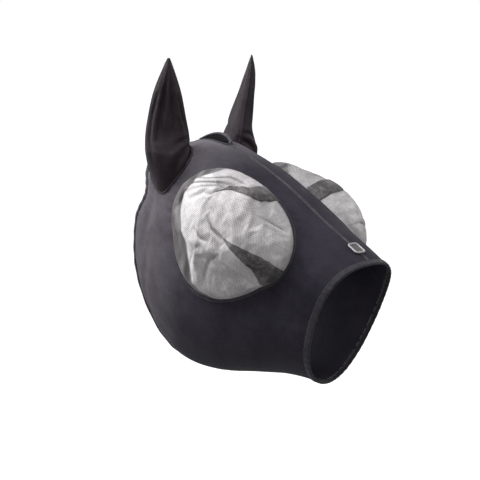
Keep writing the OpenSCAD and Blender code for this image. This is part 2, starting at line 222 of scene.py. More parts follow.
def grid(rows, uv, around=False, pole=None):
    """Quads between rows of points: (points, faces, the uv of each face corner)."""
    count, n = rows.shape[:2]
    j, i = np.meshgrid(np.arange(count - 1), np.arange(n if around else n - 1), indexing="ij")
    j, i = j.ravel(), i.ravel()
    k = (i + 1) % n
    faces = np.stack([j * n + i, j * n + k, (j + 1) * n + k, (j + 1) * n + i], 1).tolist()
    corners = np.stack([uv[j, i], uv[j, i + 1], uv[j + 1, i + 1], uv[j + 1, i]], 1)
    corners = corners.reshape(-1, 2)
    points = rows.reshape(-1, 3)
    if pole is not None:
        last, tip = (count - 1) * n, len(points)
        points = np.vstack([points, pole])
        i = np.arange(n if around else n - 1)
        faces += np.stack([last + i, last + (i + 1) % n, np.full(len(i), tip)], 1).tolist()
        middle = np.broadcast_to(uv[-1].mean(0), (len(i), 2))
        corners = np.vstack([corners, np.stack([uv[-1, i], uv[-1, i + 1], middle], 1)
                             .reshape(-1, 2)])
    return points, faces, corners


def new_piece(name, parts, material, inside=None, axis=(0, 0, 0), merge=0.0):
    """One object from grids. Faces turn away from the point inside, or from an axis through it,
    or, where neither is given, out of a closed shape."""
    points, faces, corners, base = [], [], [], 0
    for p, f, c in parts:
        p = np.asarray(p)
        faces += [[v + base for v in face] for face in f]
        points.append(p)
        corners.append(c)
        base += len(p)
    points, corners = np.vstack(points), np.vstack(corners)
    mesh = bpy.data.meshes.new(name)
    mesh.from_pydata((points * MM).tolist(), [], faces)
    layer = mesh.uv_layers.new(name=UV_NAME)
    layer.data.foreach_set("uv", (corners * MM).astype(np.float32).ravel())
    work = bmesh.new()
    work.from_mesh(mesh)
    if merge:
        bmesh.ops.remove_doubles(work, verts=work.verts, dist=merge * MM)
    if inside is None:
        outward = work.calc_volume(signed=True)
    else:
        middle, way, outward = Vector(np.asarray(inside) * MM), Vector(axis), 0.0
        for f in work.faces:
            off = f.calc_center_median() - middle
            outward += f.calc_area() * f.normal.dot(off - way * off.dot(way))
    if outward < 0:
        bmesh.ops.reverse_faces(work, faces=work.faces)
    for f in work.faces:
        f.smooth = True
    work.to_mesh(mesh)
    work.free()
    mesh.materials.append(material)
    return placed(name, mesh)


def on_hood(piece, node=None):
    """The piece rides on the hood and stands for this CAD node, which it hides."""
    if node:
        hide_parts(node)
    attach(piece, "hood")
    return piece


def thickened(piece, thickness, offset=-1.0):
    """The sheet gets its wall, and the result is made plain."""
    wall = piece.modifiers.new("wall", "SOLIDIFY")
    wall.thickness, wall.offset = thickness * MM, offset
    wall.use_even_offset = False
    return applied(piece)


def applied(piece):
    """Replaces the mesh by what its modifiers make of it."""
    evaluated = piece.evaluated_get(bpy.context.evaluated_depsgraph_get())
    mesh = bpy.data.meshes.new_from_object(evaluated)
    piece.modifiers.clear()
    piece.data = mesh
    return piece


def path_length(points, closed):
    steps = np.linalg.norm(np.diff(points, axis=0), axis=1)
    total = np.concatenate([[0], np.cumsum(steps)])
    return np.append(total, total[-1] + np.linalg.norm(points[0] - points[-1])) if closed else total


def path_tangent(points, closed):
    if closed:
        return unit(np.roll(points, -1, 0) - np.roll(points, 1, 0))
    return unit(np.gradient(points, axis=0))


def swept(points, out, profile, closed):
    """A closed profile [(across, out)] carried along a path; ends of an open path are filled."""
    across = unit(np.cross(path_tangent(points, closed), out))
    profile = np.asarray(profile, float)
    rows = points[:, None] + across[:, None] * profile[:, :1] + out[:, None] * profile[:, 1:]
    u, v = path_length(points, closed), path_length(profile, True)
    m, total = len(profile), len(profile) * len(points)
    if closed:
        lines = rows.transpose(1, 0, 2)
        uv = np.stack(np.broadcast_arrays(u[None, :], v[:, None]), -1)
        p, f, c = grid(np.concatenate([lines, lines[:1]]), uv, around=True)
        return p[:total], [[i % total for i in face] for face in f], c
    uv = np.stack(np.broadcast_arrays(u[:, None], v[None, :]), -1)
    p, f, c = grid(rows, uv, around=True)
    f += [list(range(m))[::-1], list(range(total - m, total))]
    return p, f, np.vstack([c, np.zeros((2 * m, 2))])


def tape_profile(width, low, high, crown=0.25, groove=0.0):
    """Section of a flat tape, from low to high off the head, with rounded edges."""
    half, top = width / 2, []
    for x in np.linspace(-1, 1, 11):
        fall = (high - low) * 0.55 * abs(x) ** 9
        top.append((x * half, high - fall + crown * (1 - x * x) - groove * hill(x, 0.22)))
    return [(-half, low)] + top + [(half, low)]


# ---- Shader graphs written as arithmetic ----


def feed(tree, socket, value):
    """Sets a socket, or links it where the value comes out of another node."""
    value = getattr(value, "socket", value)
    if isinstance(value, bpy.types.NodeSocket):
        tree.links.new(value, socket)
    else:
        socket.default_value = value


def new_node(tree, kind, settings=None, sockets=None):
    """A node of any kind: its settings are made first, then its sockets are fed."""
    node = tree.nodes.new(kind)
    for key, value in (settings or {}).items():
        setattr(node, key, value)
    for key, value in (sockets or {}).items():
        feed(tree, node.inputs[key], value)
    return node


class Value:
    """A shader socket that can be added, multiplied and so on."""

    def __init__(self, graph, socket):
        self.graph, self.socket = graph, socket

    def math(self, operation, *terms):
        return self.graph.add("ShaderNodeMath", {"operation": operation}, dict(enumerate(terms)))

    def __add__(self, other):
        return self.math("ADD", self, other)

    def __sub__(self, other):
        return self.math("SUBTRACT", self, other)

    def __rsub__(self, other):
        return self.math("SUBTRACT", other, self)

    def __mul__(self, other):
        return self.math("MULTIPLY", self, other)

    def __truediv__(self, other):
        return self.math("DIVIDE", self, other)

    __radd__, __rmul__ = __add__, __mul__

    def sin(self):
        return self.math("SINE", self)

    def abs(self):
        return self.math("ABSOLUTE", self)

    def fraction(self):
        return self.math("FRACT", self)

    def larger(self, other):
        return self.math("MAXIMUM", self, other)

    def ramp(self, low, high):
        """0 at low, 1 at high, eased between."""
        return self.graph.add("ShaderNodeMapRange", {"interpolation_type": "SMOOTHSTEP"},
                              {"Value": self, "From Min": low, "From Max": high})


class Finish:
    """One material and the ways to build its graph."""

    def __init__(self, name):
        self.material = bpy.data.materials.new(name)
        self.material.use_nodes = True
        self.tree = self.material.node_tree
        self.tree.nodes.clear()
        self.shader = new_node(self.tree, "ShaderNodeBsdfPrincipled")
        new_node(self.tree, "ShaderNodeOutputMaterial", sockets={"Surface": self.shader.outputs[0]})

    def add(self, kind, settings=None, sockets=None, out=0):
        return Value(self, new_node(self.tree, kind, settings, sockets).outputs[out])

    def place(self):
        return self.add("ShaderNodeTexCoord", out="Object")

    def components(self, vector, *axes):
        return [self.add("ShaderNodeSeparateXYZ", sockets={0: vector}, out=n) for n in axes]

    def cloth_uv(self):
        """(along, across) on the cloth, in metres."""
        return self.components(self.add("ShaderNodeUVMap", {"uv_map": UV_NAME}), 0, 1)

    def noise(self, scale, detail, roughness=0.55):
        return self.add("ShaderNodeTexNoise", {"noise_dimensions": "3D"},
                        {"Vector": self.place(), "Scale": scale, "Detail": detail,
                         "Roughness": roughness})

    def mix(self, factor, a, b):
        """Colour a where the factor is 0, colour b where it is 1."""
        a, b = (end if isinstance(end, Value) else (*end, 1) for end in (a, b))
        return self.add("ShaderNodeMix", {"data_type": "RGBA"}, {0: factor, 6: a, 7: b}, out=2)

    def bump(self, height, distance, strength, under=None):
        sockets = {"Height": height, "Distance": distance, "Strength": strength}
        return self.add("ShaderNodeBump", sockets=sockets | ({"Normal": under} if under else {}))

    def set(self, **sockets):
        inputs = {socket.name.lower().replace(" ", "_"): socket for socket in self.shader.inputs}
        for name, value in sockets.items():
            feed(self.tree, inputs[name], value)


def knit(finish, u, v, wale, course):
    """Height of fine knitted loops: rows of small V shapes."""
    lean = (v * (math.tau / course)).sin() * 0.22
    column = (u / wale + lean).fraction() - 0.5
    loop = (v * (math.tau / course) + column.abs() * 5.0).sin()
    return (0.5 - column.abs()) * 1.2 + loop * 0.25


def stretch_cloth(name, deep, pale, roughness, sheen, tint, wale=0.0009, painted_light=None):
    """Fine knit. Painted light comes up as a paler colour toward the rear and the top, and partly
    stands for cloth pulled thin there.
    """
    finish = Finish(name)
    u, v = finish.cloth_uv()
    loops = knit(finish, u, v, wale, wale * 0.8)
    soft = finish.noise(14.0, 4.0)
    fine = finish.noise(260.0, 2.0)
    worn = finish.noise(46.0, 3.0, 0.65)
    shade = (soft * 0.6 + worn * 0.3 + fine * 0.25 + loops * 0.12).ramp(0.42, 0.86)
    crumple = finish.bump(soft * 0.7 + worn * 0.3, 0.0016, 0.5)
    normal = finish.bump(loops, 0.00016, 0.6, crumple)
    colour = finish.mix(shade, deep, pale)
    if painted_light:
        # Painted light: a paler colour toward the rear (y) and the top (z)
        y, z = finish.components(finish.place(), 1, 2)
        lit_share = (y + z * 0.45 + soft * 0.05).ramp(-0.14, 0.03)
        colour = finish.mix(lit_share * (0.5 + shade * 0.5), colour, painted_light)
    finish.set(base_color=colour, roughness=roughness + 0.12 * worn, normal=normal,
               sheen_weight=sheen, sheen_roughness=0.45, specular_ior_level=0.14)
    finish.shader.inputs["Sheen Tint"].default_value = (*tint, 1)
    return finish.material


def tape_cloth(name, deep, pale, rib, roughness=0.62, sheen=0.15):
    """Narrow woven tape or elastic, ribbed along or across its length."""
    finish = Finish(name)
    u, v = finish.cloth_uv()
    ribs = (u * (math.tau / rib)).sin() * 0.5 + (v * (math.tau / (rib * 0.8))).sin() * 0.35
    dust = finish.noise(90.0, 3.0, 0.6)
    shade = (ribs * 0.18 + dust).ramp(0.35, 0.8)
    finish.set(base_color=finish.mix(shade, deep, pale), roughness=roughness + 0.1 * dust,
               normal=finish.bump(ribs + dust * 0.6, 0.00022, 0.7), sheen_weight=sheen,
               sheen_roughness=0.4, specular_ior_level=0.35)
    return finish.material


# Painted shade: the near black colour of the net in its creases and on the doubled strip
PAINTED_SHADE_NET = (0.028, 0.025, 0.027)


def net_cloth(name, deep, pale, pitch, share, web):
    """Open net: two leaning families of threads over a finer web, see-through between them."""
    finish = Finish(name)
    u, v = finish.cloth_uv()
    wander = finish.noise(40.0, 2.0) * 0.5
    first = (((u + v) / pitch + wander).fraction() - 0.5).abs()
    second = (((u - v) / pitch - wander).fraction() - 0.5).abs()
    nearest = (0.5 - first).larger(0.5 - second)
    thread = nearest.ramp(0.5 - share * 0.62, 0.5 - share * 0.30)
    layers = finish.add("ShaderNodeAttribute", {"attribute_name": "layers"}, out=2)
    shade = (finish.noise(26.0, 3.0) * 0.6 + finish.noise(150.0, 3.0) * 0.4).ramp(0.35, 0.68)
    # Painted shade: where the layers attribute is high the colour goes near black; the cover there
    # is thicker, for the net lying double
    colour = finish.mix(layers * 0.97, finish.mix(shade, deep, pale), PAINTED_SHADE_NET)
    cover = (thread * (1 - web) + web).larger(layers.ramp(0.0, 0.92))
    finish.set(base_color=colour, roughness=0.55, alpha=cover,
               normal=finish.bump(nearest, 0.0003, 0.5), sheen_weight=0.1,
               specular_ior_level=0.25)
    return finish.material


def plain_trim(name, deep, pale, roughness, grain):
    """Smooth rubber with a fine grain."""
    finish = Finish(name)
    spots = finish.noise(grain, 4.0, 0.6)
    finish.set(base_color=finish.mix(spots.ramp(0.3, 0.75), deep, pale),
               roughness=roughness + 0.15 * spots, normal=finish.bump(spots, 0.0001, 0.5))
    return finish.material


# Each finish has its deep and its pale colour, between which it varies
# The hood also has a third colour, painted light toward its rear and top
hood_cloth = stretch_cloth("hood stretch knit", (0.009, 0.0072, 0.0135), (0.025, 0.0215, 0.0335),
                           0.62, 0.06, (0.90, 0.86, 0.95), painted_light=(0.112, 0.101, 0.116))
ear_cloth = stretch_cloth("ear stretch knit", (0.013, 0.0092, 0.0118), (0.034, 0.026, 0.031),
                          0.46, 0.04, (0.92, 0.86, 0.90), 0.0008)
binding_cloth = tape_cloth("binding tape", (0.010, 0.008, 0.012), (0.028, 0.025, 0.032), 0.0012)
# Painted highlight: a lighter copy of the binding tape on the raised seam rims and the left
# forelock lip
painted_highlight_tape = tape_cloth("seam rims", (0.022, 0.019, 0.026), (0.064, 0.058, 0.071), 0.0011)
elastic_cloth = tape_cloth("hem elastic", (0.009, 0.0075, 0.013), (0.028, 0.024, 0.035), 0.0016)
net = net_cloth("window net", (0.36, 0.345, 0.353), (0.56, 0.54, 0.55), 0.0034, 0.42, 0.50)
# Painted shade: a dark copy of the net finish for the dart flaps
painted_shade_dart_net = net_cloth("doubled net in painted shade", (0.034, 0.031, 0.033), (0.155, 0.145, 0.150),
                     0.0030, 0.45, 0.74)
thread_finish = tape_cloth("sewing thread", (0.016, 0.014, 0.019), (0.050, 0.045, 0.055), 0.0007)
patch_finish = plain_trim("plain rubber patch", (0.050, 0.048, 0.052), (0.130, 0.126, 0.130),
                          0.4, 300.0)
edge_finish = tape_cloth("patch edging", (0.36, 0.35, 0.36), (0.62, 0.60, 0.62), 0.0012, 0.6, 0.1)
label_finish = tape_cloth("blank label", (0.60, 0.60, 0.57), (0.78, 0.78, 0.75), 0.0009, 0.7, 0.1)

# ---- Folds of the cloth ----


def near_line(x, y, path):
    """Distance to a polyline in mm, and a share that fades out at both its ends."""
    path = np.asarray(path, float)
    best, where = np.full(np.shape(x), 1e9), np.zeros(np.shape(x))
    for n, (p, q) in enumerate(zip(path[:-1], path[1:])):
        way = q - p
        f = np.clip(((x - p[0]) * way[0] + (y - p[1]) * way[1]) / (way @ way), 0, 1)
        gap = np.hypot(x - p[0] - f * way[0], y - p[1] - f * way[1])
        nearer = gap < best
        best, where = np.where(nearer, gap, best), np.where(nearer, n + f, where)
    return best, np.sin(math.pi * np.clip(0.06 + 0.88 * where / (len(path) - 1), 0, 1)) ** 0.7


def crease(x, y, path, width, depth, lip):
    """A valley along a polyline, with a soft lip beside it that is a share of its depth."""
    gap, fade = near_line(x, y, path)
    return depth * fade * (lip * hill(gap - 2.2 * width, 1.4 * width) - hill(gap, width))


WAVE_COUNT = 7


def waves(x, y, seed, scale):
    """Soft irregular waves of about the given length, one high."""
    draw = np.random.default_rng(seed)
    total = np.zeros(np.broadcast(x, y).shape)
    for _ in range(WAVE_COUNT):
        way, turn = draw.uniform(0, math.tau), draw.uniform(0, math.tau)
        k = math.tau / (scale * draw.uniform(0.7, 1.6))
        total += np.sin(k * (x * math.cos(way) + y * math.sin(way)) + turn)
    return total / WAVE_COUNT


# Long soft folds of the hood behind the window and under the jaw: a path of (t, distance from the
# ridge), its width and depth
HOOD_FOLDS = (
    ([(20, 190), (34, 240), (70, 280)], 7, 1.3),
    ([(60, 252), (110, 262), (170, 256)], 8, 1.2),
    ([(150, 275), (220, 262), (290, 248)], 6, 1.0),
    ([(300, 95), (340, 120), (376, 132)], 5, 0.9),
    ([(310, 205), (345, 190), (380, 186)], 5, 0.9),
    ([(-20, 120), (10, 170), (20, 215)], 8, 1.3),
)


def hood_fold(t, a, side):
    """How far the stretched cloth stands off its smooth shape."""
    x, y = t, np.abs(a) * MM_PER_DEGREE
    seed = 11 if side == RIGHT else 23
    lift = 0.5 * waves(x, y, seed, 90)
    # Short pulls that radiate from the seam round the window
    bx, by = (t - EYE_T) / (EYE_HALF_LEN + 6), (np.abs(a) - EYE_A) / (EYE_HALF_A + 3.2)
    out = (np.hypot(bx, by) - 1) * 100
    bearing = np.arctan2(by, bx)
    pulls = np.sin(bearing * 34 + 2.5 * np.sin(bearing * 5 + seed))
    pulls *= 0.6 + 0.4 * np.sin(bearing * 3)
    lift += 0.32 * pulls * hill(out - 3, 13)
    # Pulls that run down from the ear seam
    ex, ey = (t - EAR_T) / EAR_HALF_LEN, (np.abs(a) - EAR_A) / EAR_HALF_A
    ear_out = (np.hypot(ex, ey) - 1) * 40
    ear_bearing = np.arctan2(ey, ex)
    lift += 0.5 * np.sin(ear_bearing * 17 + seed) * hill(ear_out - 2, 15)
    for n, (path, width, depth) in enumerate(HOOD_FOLDS):
        lift += crease(x + 5 * math.sin(seed + 2 * n), y, path, width, depth, 0.4)
    # Gathers at the two hems
    from_nose, from_neck = nose_t(a) - t, t - neck_t(a)
    lift += 0.35 * np.sin(y * math.tau / 15 + np.sin(y / 23)) * hill(from_nose - 8, 20)
    lift += 0.45 * np.sin(y * math.tau / 21 + np.sin(y / 31)) * hill(from_neck - 6, 24)
    return lift


def hood_lift(t, a, side):
    """Outer face of the hood above the head, calm where the cloth is sewn to something."""
    x = half_width(t) * np.sin(np.radians(a))
    edge = np.minimum(nose_t(a) - 10 - t, t - neck_t(a) - 6)
    edge = np.minimum(edge, np.where(np.abs(a) < 90, np.abs(x) - 3, 60))
    calm = 0.25 + 0.75 * smooth(edge / 16)
    rise = slit_rise(t, x, side) * (np.abs(a) < 60)
    return FABRIC_T + rise + calm * hood_fold(t, a, side)


# ---- Hood panels ----

HEM_OVERLAP, SEAM_EDGE = 3, 0.4


def neck_edge(a):
    """Edge of the hood's cloth, under the neck hem."""
    return neck_t(a) + NECK_HEM_W - HEM_OVERLAP


def nose_edge(a):
    return nose_t(a) - NOSE_HEM_W + HEM_OVERLAP


def spaced(p, q, gap):
    return np.linspace(p, q, max(2, int(abs(q - p) / gap) + 1))


def joined(*paths):
    """Paths of (t, a) end to end, without the point that each shares with the next."""
    return np.vstack([path[:-1] for path in paths])


def ridge_path(t0, t1, gap):
    """The edge beside the middle seam, wider round the slit."""
    ts = spaced(t0, t1, gap)
    lip = 2.6 * smooth((ts - SLIT_REAR + 4) / 5) * smooth((SLIT_FRONT + 4 - ts) / 5)
    return np.stack([ts, ridge_a(ts, SEAM_EDGE + lip + slit_x(ts))], 1)


def line_path(p, q):
    length = math.hypot(q[0] - p[0], (q[1] - p[1]) * MM_PER_DEGREE)
    f = np.linspace(0, 1, max(2, int(length / GAP) + 1))[:, None]
    return np.asarray(p) + f * (np.asarray(q) - np.asarray(p))


def hem_path(edge, a0, a1):
    a = spaced(a0, a1, GAP / MM_PER_DEGREE)
    return np.stack([edge(a), a], 1)


NECK_START_T = neck_edge(0)
FIRST_A = ridge_a(NECK_START_T, SEAM_EDGE)


def panel(side):
    """The ear block and the rest of one side of the hood, as rings round their openings."""
    nose_last_a = 180 - ridge_a(FACE_LEN, SEAM_EDGE)
    neck_last_a = 180 - ridge_a(NECK_UNDER, SEAM_EDGE)
    side_way = line_path((BLOCK_T, ridge_a(BLOCK_T, SEAM_EDGE)), (BLOCK_T, BLOCK_LOW_A))
    low_way = line_path((BLOCK_T, BLOCK_LOW_A), (neck_edge(BLOCK_REAR_A), BLOCK_REAR_A))
    ear_loop = joined(ridge_path(NECK_START_T, BLOCK_T, GAP * 0.6), side_way, low_way,
                      hem_path(neck_edge, BLOCK_REAR_A, FIRST_A))
    jaw_ts = spaced(nose_edge(nose_last_a), neck_edge(neck_last_a), GAP)
    main_loop = joined(ridge_path(BLOCK_T, nose_edge(0), GAP),
                       hem_path(nose_edge, FIRST_A, nose_last_a),
                       np.stack([jaw_ts, 180 - ridge_a(jaw_ts, SEAM_EDGE)], 1),
                       hem_path(neck_edge, neck_last_a, BLOCK_REAR_A),
                       low_way[::-1], side_way[::-1])
    parts = []
    for loop, middle, half, opening, grow, rows in (
            (ear_loop, (EAR_T, EAR_A), (EAR_HALF_LEN, EAR_HALF_A), ear_seam, 0.0, ROWS_NEAR),
            (main_loop, (EYE_T, EYE_A), (EYE_HALF_LEN, EYE_HALF_A), eye_oval, 2.0, ROWS_FAR)):
        way = (loop - middle) / half
        hole = np.stack(opening(np.degrees(np.arctan2(way[:, 1], way[:, 0])), grow), 1)
        f = np.linspace(0, 1, rows)[:, None, None]
        place = hole[None] + f * (loop - hole)[None]
        t, a = place[..., 0], side * place[..., 1]
        points = on_head(t, a, hood_lift(t, a, side))
        uv = np.stack([t, a * MM_PER_DEGREE], -1)
        parts.append(grid(points, np.concatenate([uv, uv[:, :1]], 1), around=True))
    return parts


HEAD_MIDDLE = (0.0, -110.0, -190.0)
GAP, ROWS_NEAR, ROWS_FAR, STEP = ((3.4, 16, 42, 1.3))

hoods = {}
for word, side in SIDES.items():
    hood = new_piece("hood_cloth_" + word, panel(side), hood_cloth, HEAD_MIDDLE, merge=0.02)
    hoods[word] = on_hood(thickened(hood, FABRIC_T), "hood_panel_" + word)

# ---- Bands and seams ----

seam_lines = {"hood": [], "ear_right": [], "ear_left": []}


def stitch_line(body, points, out):
    seam_lines[body].append((points, out))


def band(name, t, a, profile, material, closed, lift=0.0):
    """A tape laid along a path on the head."""
    line = swept(on_head(t, a, lift), head_normal(t, a), profile, closed)
    return new_piece(name, [line], material)


def turn(count):
    """Bearings in degrees, once round."""
    return np.linspace(0, 360, count + 1)[:-1]


def even(t, a):
    """The same closed path on the head with points an even gap apart."""
    run = path_length(skin(t, a), True)
    t, a = np.append(t, t[0]), np.append(a, a[0] + (360 if abs(a[0] - a[-1]) > 180 else 0))
    s = np.linspace(0, run[-1], int(run[-1] / STEP) + 1)[:-1]
    return np.interp(s, run, t), np.interp(s, run, a)


def seam_stitches(t, a, shift, lift):
    """A line of stitches beside a path on the head, shifted across it."""
    points, out = skin(t, a), head_normal(t, a)
    closed = np.linalg.norm(points[0] - points[-1]) < 12
    across = unit(np.cross(path_tangent(points, closed), out))
    line = points + across * shift + out * np.asarray(lift)[..., None]
    if closed:
        line, out = np.vstack([line, line[:1]]), np.vstack([out, out[:1]])
    stitch_line("hood", line, out)


for word, side in SIDES.items():
    t, a = eye_oval(turn(720), EYE_BAND_W / 2)
    t, a = even(t, side * a)
    rim = band("window_seam_" + word, t, a, tape_profile(EYE_BAND_W, -0.1, 2.3, groove=0.5),
               binding_cloth, True, 0.15 * waves(t, a * 2, 5, 40))
    on_hood(rim, "eye_binding_" + word)
    for shift in (1.7, -1.7):
        seam_stitches(t, a, shift, 2.45)

# The hems: middle line, width and crown, then the depth, pitch and swing of the puckers, and the
# distance of the stitches from the middle and their height
round_a = np.linspace(-180, 180, 721)[:-1]
for name, middle, width, crown, depth, pitch, swing, seed, shifts, high in (
        ("nose", nose_t(round_a) - NOSE_HEM_W / 2, NOSE_HEM_W, 0.4,
         0.3, 11, 9, 3, (4.2, -4.2), 2.75),
        ("neck", neck_t(round_a) + NECK_HEM_W / 2, NECK_HEM_W, 0.5,
         0.35, 14, 7, 4, (2.6,), 2.8)):
    t, a = even(middle, round_a)
    pucker = (depth * np.sin(a * MM_PER_DEGREE * math.tau / pitch + np.sin(a / swing))
              + 0.3 * waves(a, a, seed, 30))
    hem = band(name + "_elastic", t, a, tape_profile(width, -0.2, 2.5, crown), elastic_cloth, True,
               pucker)
    on_hood(hem, name + "_hem")
    for shift in shifts:
        seam_stitches(t, a, shift, high + pucker)

# Two raised rims either side of each line where the panels meet
for name, t0, t1, at in (
        ("face_seam", SLIT_FRONT + 2, float(nose_t(0)) - NOSE_HEM_W + 1, 0.0),
        ("poll_seam", NECK_START_T - 1, SLIT_REAR - 2, 0.0),
        ("jaw_seam", float(nose_t(180)) - NOSE_HEM_W + 1, NECK_UNDER + NECK_HEM_W - 1, 180.0)):
    t = spaced(t0, t1, STEP)
    a = np.full(len(t), at)
    seam = band(name, t, a, tape_profile(6.2, -0.1, 2.2, 0.9, groove=2.3), painted_highlight_tape, False,
                0.12 * np.sin(t * math.tau / 7))
    on_hood(seam, name + "_tape")
    for shift in (2.2, -2.2):
        seam_stitches(t, a, shift, 2.5)

LIP_W = 6.0
for word, side in SIDES.items():
    t = SLIT_MID - np.cos(np.linspace(0, math.pi, 70)) * SLIT_HALF
    x = slit_x(t) + LIP_W / 2
    a, rise = side * ridge_a(t, x), slit_rise(t, x, side)
    # The left lip, which stands up more, takes the painted highlight tape; the right one the plain
    # binding
    lip = band("forelock_lip_" + word, t, a, tape_profile(LIP_W, -0.2, 2.3, 0.8),
               painted_highlight_tape if side == LEFT else binding_cloth, False, rise)
    on_hood(lip, "forelock_binding_" + word)
    seam_stitches(t, a, side * 1.6, 2.9 + rise)

# ---- Net windows ----

DOME_H, DOME_SPREAD, DOME_TIP = 64.0, math.radians(58), math.radians(12)
DOME_HALF = (EYE_HALF_LEN + EYE_HALF_H) / 2 - 0.5
DOME_OUT = to_part(-math.sin(DOME_SPREAD) * math.cos(DOME_TIP), math.sin(DOME_TIP),
                   math.cos(DOME_SPREAD) * math.cos(DOME_TIP))
# Folds of the slack net: a path of (x, y), its width and depth. x runs along the window from its
# middle toward the nose, y down from it.
NET_FOLDS = {
    RIGHT: (
        ([(-115, -20), (-75, -32), (-40, -48), (-8, -52)], 2.6, 2.4),
        ([(-120, -10), (-92, -18), (-55, -32), (-14, -44)], 2.6, 2.6),
        ([(-90, -6), (-70, -20), (-45, -32), (-28, -34)], 2.6, 2.0),
        ([(-64, -16), (-44, -20), (-30, -34)], 2.4, 1.8),
        ([(56, -36), (78, -41), (95, -44)], 2.2, 1.6),
        ([(-36, 20), (-16, 24), (2, 22)], 2.6, 1.6),
        ([(-22, 2), (-2, 9), (22, 12)], 2.4, 2.2),
        ([(-104, -34), (-97, -8), (-104, 18)], 4.0, 2.2),
        ([(-76, -2), (-62, -14), (-56, -26)], 4.0, 1.6),
        ([(10, 62), (14, 44), (30, 30)], 5.0, 1.6),
        ([(-34, 60), (-26, 42), (-8, 30)], 5.0, 1.4)),
    LEFT: (
        ([(-80, 5), (-50, 10), (-15, 12), (18, 5), (54, -4)], 2.6, 2.8),
        ([(-15, 12), (14, 24), (46, 31)], 2.6, 2.4),
        ([(98, -46), (90, -12), (78, 22)], 2.8, 2.4),
        ([(-110, -22), (-72, -34), (-36, -44)], 2.8, 2.2),
        ([(40, -40), (48, -14), (50, 16)], 3.0, 2.4),
        ([(-60, -52), (-46, -20), (-44, 12)], 4.0, 2.0),
        ([(-12, -60), (0, -30), (-6, 8)], 4.5, 2.0),
        ([(62, 10), (84, 30), (98, 38)], 3.0, 2.0)),
}
# Darts that take up the fullness: the upper and the lower edge, from the point to the seam
DARTS = {
    "upper": ([(-38, -25), (-26, -39), (0, -50), (5, -64), (8, -79)],
              [(-38, -25), (-16, -36), (12, -42), (34, -50), (42, -74)]),
    "lower": ([(-4, 9), (26, 11), (66, 8), (98, 5), (132, 5)],
              [(-4, 9), (26, 12), (62, 19), (90, 26), (112, 43)]),
}
# The doubled strip along the seam, raised a little and painted in shade: how deep it reaches, at
# which bearing, and how far along
STRIP_REACH = ((0.32, 130, 36), (0.22, 195, 42))


def from_middle(x, y):
    """Share of the way from the window's middle to its edge, and bearing, of a place (x, y)."""
    across, down = x / EYE_HALF_LEN, y / EYE_HALF_H
    return np.hypot(across, down), np.arctan2(down, across)


def dome_rise(share):
    return DOME_H * (1 - share**2.6) ** 0.62


def lap(share, bearing):
    """How far a place lies inside the doubled strip at the rear and the foot of the window."""
    around = np.degrees(bearing) % 360
    reach = sum(depth * hill(around - at, spread) for depth, at, spread in STRIP_REACH)
    return share - 1.02 + reach


def net_fold(x, y, share, bearing, side):
    lift = 1.5 * waves(x, y, 31 if side == RIGHT else 47, 74)
    lift += 0.6 * waves(x, y, 60 + 7 * side, 26)
    if side == LEFT:
        lift -= 19 * hill(x + 48, 52) * hill(y + 30, 38)
    for path, width, depth in NET_FOLDS[side]:
        lift += crease(x, y, path, width, depth, 0.45)
    return lift + 0.9 * smooth(lap(share, bearing) / 0.02)


def net_doubling_and_shade(x, y, share, bearing, side):
    """Where the net is painted in shade: its sharp folds, the sunken part of the left net, and the
    strip along the seam, where it also lies double.
    """
    dark = smooth(lap(share, bearing) / 0.015) * (0.90 + 0.22 * waves(x, y, 9, 26))
    dark = np.maximum(dark, 0.9 * hill(lap(share, bearing), 0.014) * (share < 0.96))
    if side == LEFT:
        slumped = smooth((-y - 6) / 22) * smooth((50 - x) / 40)
        dark = np.maximum(dark, slumped * (0.42 + 0.35 * waves(x, y, 12, 24)))
    for path, width, depth in NET_FOLDS[side]:
        gap, fade = near_line(x, y, path)
        dark = np.maximum(dark, fade * min(0.9, 0.38 * depth) * hill(gap, 0.7 * width))
    return np.clip(dark, 0, 1)


def dome_point(share, bearing, side, fold):
    t = EYE_T + share * (EYE_HALF_LEN + 1.5) * np.cos(bearing)
    a = EYE_A + share * (EYE_HALF_A + 1.5 / MM_PER_DEGREE) * np.sin(bearing)
    rise = dome_rise(np.minimum(share, 1)) + fold
    way = 0.65 * DOME_OUT + 0.35 * (skin(t, a, 1) - skin(t, a))
    points = skin(t, a, 0.6) + rise[..., None] * way
    return points * np.array([1 if side == RIGHT else -1, 1, 1])


def dome_grid(side, columns, rows):
    """Points of the net, their flat places, and their places on the cloth."""
    u, v = np.meshgrid(np.linspace(-1, 1, columns), np.linspace(-1, 1, rows), indexing="ij")
    across, down = u * np.sqrt(1 - v * v / 2), v * np.sqrt(1 - u * u / 2)
    share, b = np.minimum(np.hypot(across, down), 1), np.arctan2(down, across)
    x, y = across * EYE_HALF_LEN, down * EYE_HALF_H
    fold = net_fold(x, y, share, b, side) * smooth((1 - share) * 5)
    points = dome_point(share, b, side, fold)
    steps = np.linspace(0, 1, 200)
    slope = np.hypot(np.diff(steps) * DOME_HALF, np.diff(dome_rise(steps)))
    run = np.interp(share, steps, np.concatenate([[0], np.cumsum(slope)]))
    run /= np.maximum(DOME_HALF * share, 1)
    flat = np.stack([x, y], -1)
    return points, flat, flat * np.maximum(run, 1)[..., None]


SLACK, SLACK_FRAMES, SLACK_CAP, SLACK_SHARE = 0.025, 10, 10.0, 0.65


